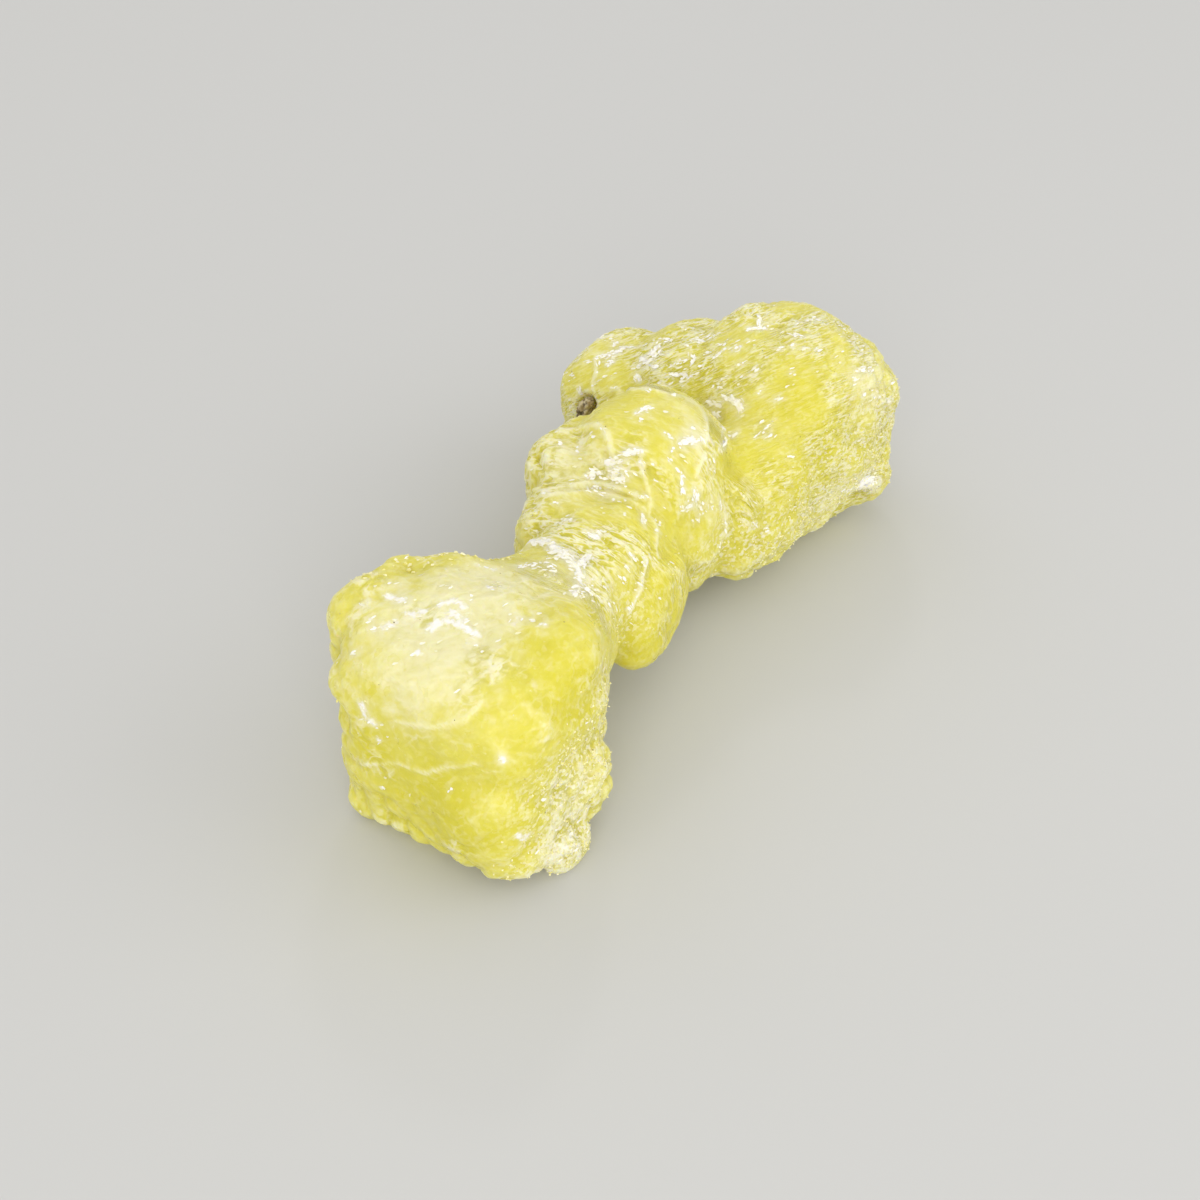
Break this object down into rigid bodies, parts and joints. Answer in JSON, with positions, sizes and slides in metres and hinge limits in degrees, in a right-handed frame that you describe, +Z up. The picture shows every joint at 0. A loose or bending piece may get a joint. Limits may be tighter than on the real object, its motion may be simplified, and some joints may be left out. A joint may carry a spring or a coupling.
{
  "type": "brucite mineral specimen",
  "caption": "Lemon-yellow brucite specimen: waxy, frosted rounded lumps grown together in a dog-bone shape, with a crumb of brown host rock in a crevice. Lies flat as a display piece.",
  "frame": {"origin": "middle of the bounding box in X and Y, on the plane that the specimen rests on", "axes": "+X along the specimen, from the blocky head to the broad head; +Z up from the resting plane"},
  "size_m": [0.0848, 0.04, 0.0272],
  "materials": {
    "yellow_brucite": "waxy to pearly, translucent, lightly frosted",
    "brown_host_rock": "rough, granular, matte"
  },
  "bodies": {
    "root": {"brucite_cluster": "yellow_brucite", "host_rock_crumb": "brown_host_rock"}
  },
  "joints": []
}
